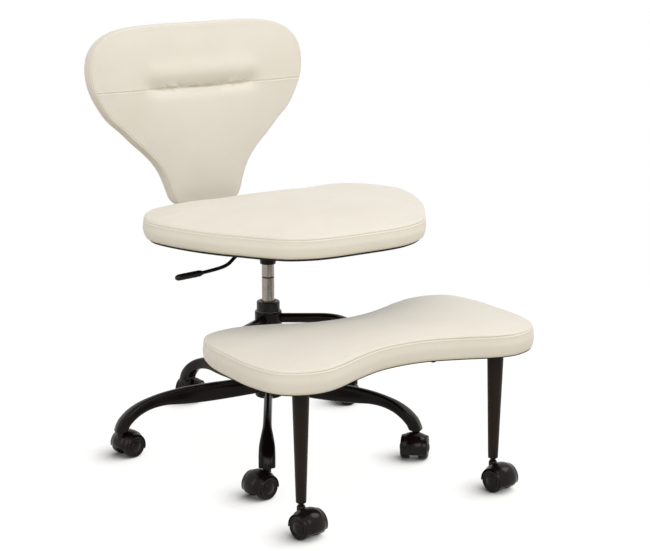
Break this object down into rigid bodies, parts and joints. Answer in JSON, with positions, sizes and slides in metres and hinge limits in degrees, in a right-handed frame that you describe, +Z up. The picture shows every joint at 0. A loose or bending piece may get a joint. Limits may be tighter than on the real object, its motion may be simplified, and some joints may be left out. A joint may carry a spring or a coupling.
{
  "type": "meditation chair",
  "caption": "Wide cross-legged seat on a gas lift with a mushroom backrest and a footstool that swings round the column, on casters.",
  "frame": {"origin": "on the floor, on the axis of the seat's column", "axes": "+Z up; the chair faces -Y; +X is to the sitter's left"},
  "size_m": [0.6874, 0.9877, 0.9245],
  "materials": {
    "leather_cream": "satin",
    "steel_black": "gloss",
    "steel_brushed": "satin",
    "steel_bright": "satin",
    "zinc": "satin",
    "plastic_black": "satin",
    "nylon_black": "gloss",
    "nylon_natural": "satin",
    "board_black": "matt",
    "leg_black": "satin"
  },
  "bodies": {
    "base": {"star_hub": "steel_black", "star_arm_1": "steel_black", "star_arm_2": "steel_black", "star_arm_3": "steel_black", "star_arm_4": "steel_black", "star_arm_5": "steel_black", "caster_sockets": "steel_black", "gas_lift_tube": "steel_black", "column_cap": "plastic_black", "thrust_washer": "nylon_natural"},
    "lift": {"piston_rod": "steel_bright", "thrust_bearing": "steel_bright"},
    "seat": {"gas_cylinder": "steel_brushed", "seat_plate": "steel_black", "seat_board": "board_black", "seat_pad": "leather_cream", "seat_bolts": "zinc", "back_bracket": "steel_black", "bracket_bolts": "zinc", "back_board": "board_black", "back_pad": "leather_cream"},
    "lever": {"lever_rod": "steel_black", "lever_grip": "plastic_black"},
    "stool": {"stool_sleeve": "steel_black", "sleeve_bushes": "nylon_natural", "stool_fork": "steel_black", "stool_board": "board_black", "stool_pad": "leather_cream", "stool_bolts": "zinc", "leg_plates": "steel_black", "stool_leg_left": "leg_black", "stool_leg_right": "leg_black"},
    "caster_1": {"stem_1": "steel_bright", "hood_1": "nylon_black", "axle_1": "steel_bright"},
    "wheel_1": {"wheels_1": "nylon_black"},
    "caster_2": {"stem_2": "steel_bright", "hood_2": "nylon_black", "axle_2": "steel_bright"},
    "wheel_2": {"wheels_2": "nylon_black"},
    "caster_3": {"stem_3": "steel_bright", "hood_3": "nylon_black", "axle_3": "steel_bright"},
    "wheel_3": {"wheels_3": "nylon_black"},
    "caster_4": {"stem_4": "steel_bright", "hood_4": "nylon_black", "axle_4": "steel_bright"},
    "wheel_4": {"wheels_4": "nylon_black"},
    "caster_5": {"stem_5": "steel_bright", "hood_5": "nylon_black", "axle_5": "steel_bright"},
    "wheel_5": {"wheels_5": "nylon_black"},
    "caster_6": {"stem_6": "steel_bright", "hood_6": "nylon_black", "axle_6": "steel_bright"},
    "wheel_6": {"wheels_6": "nylon_black"},
    "caster_7": {"stem_7": "steel_bright", "hood_7": "nylon_black", "axle_7": "steel_bright"},
    "wheel_7": {"wheels_7": "nylon_black"}
  },
  "joints": [
    {"name": "seat_swivel", "type": "hinge", "parent": "base", "child": "lift", "pos_m": [0, 0, 0.2], "axis": [0, 0, 1], "continuous": true},
    {"name": "seat_height", "type": "slide", "parent": "lift", "child": "seat", "axis": [0, 0, 1], "range_m": [-0.06, 0.04]},
    {"name": "lever_lift", "type": "hinge", "parent": "seat", "child": "lever", "pos_m": [-0.0445, -0.02569, 0.489], "axis": [-0.5, 0.866, 0], "range_deg": [0, 5], "stiffness_Nm_per_rad": 1.2, "springref_deg": -8.59},
    {"name": "stool_swivel", "type": "hinge", "parent": "base", "child": "stool", "pos_m": [0, 0, 0.24], "axis": [0, 0, 1], "continuous": true},
    {"name": "caster_swivel_1", "type": "hinge", "parent": "base", "child": "caster_1", "pos_m": [-0.18282, -0.29258, 0.06], "axis": [0, 0, 1], "continuous": true},
    {"name": "caster_roll_1", "type": "hinge", "parent": "caster_1", "child": "wheel_1", "pos_m": [-0.20239, -0.29674, 0.0255], "axis": [0.2079, -0.9781, 0], "continuous": true},
    {"name": "caster_swivel_2", "type": "hinge", "parent": "base", "child": "caster_2", "pos_m": [0.22176, -0.26428, 0.06], "axis": [0, 0, 1], "continuous": true},
    {"name": "caster_roll_2", "type": "hinge", "parent": "caster_2", "child": "wheel_2", "pos_m": [0.20812, -0.27891, 0.0255], "axis": [0.7314, -0.682, 0], "continuous": true},
    {"name": "caster_swivel_3", "type": "hinge", "parent": "base", "child": "caster_3", "pos_m": [0.31988, 0.12924, 0.06], "axis": [0, 0, 1], "continuous": true},
    {"name": "caster_roll_3", "type": "hinge", "parent": "caster_3", "child": "wheel_3", "pos_m": [0.30108, 0.13608, 0.0255], "axis": [-0.342, -0.9397, 0], "continuous": true},
    {"name": "caster_swivel_4", "type": "hinge", "parent": "base", "child": "caster_4", "pos_m": [-0.02407, 0.34416, 0.06], "axis": [0, 0, 1], "continuous": true},
    {"name": "caster_roll_4", "type": "hinge", "parent": "caster_4", "child": "wheel_4", "pos_m": [-0.00874, 0.35702, 0.0255], "axis": [-0.6428, 0.766, 0], "continuous": true},
    {"name": "caster_swivel_5", "type": "hinge", "parent": "base", "child": "caster_5", "pos_m": [-0.33475, 0.08346, 0.06], "axis": [0, 0, 1], "continuous": true},
    {"name": "caster_roll_5", "type": "hinge", "parent": "caster_5", "child": "wheel_5", "pos_m": [-0.31519, 0.08762, 0.0255], "axis": [-0.2079, 0.9781, 0], "continuous": true},
    {"name": "caster_swivel_6", "type": "hinge", "parent": "stool", "child": "caster_6", "pos_m": [-0.24, -0.517, 0.06], "axis": [0, 0, 1], "continuous": true},
    {"name": "caster_roll_6", "type": "hinge", "parent": "caster_6", "child": "wheel_6", "pos_m": [-0.23618, -0.53663, 0.0255], "axis": [0.9816, 0.1908, 0], "continuous": true},
    {"name": "caster_swivel_7", "type": "hinge", "parent": "stool", "child": "caster_7", "pos_m": [0.24, -0.517, 0.06], "axis": [0, 0, 1], "continuous": true},
    {"name": "caster_roll_7", "type": "hinge", "parent": "caster_7", "child": "wheel_7", "pos_m": [0.24382, -0.53663, 0.0255], "axis": [0.9816, 0.1908, 0], "continuous": true}
  ]
}
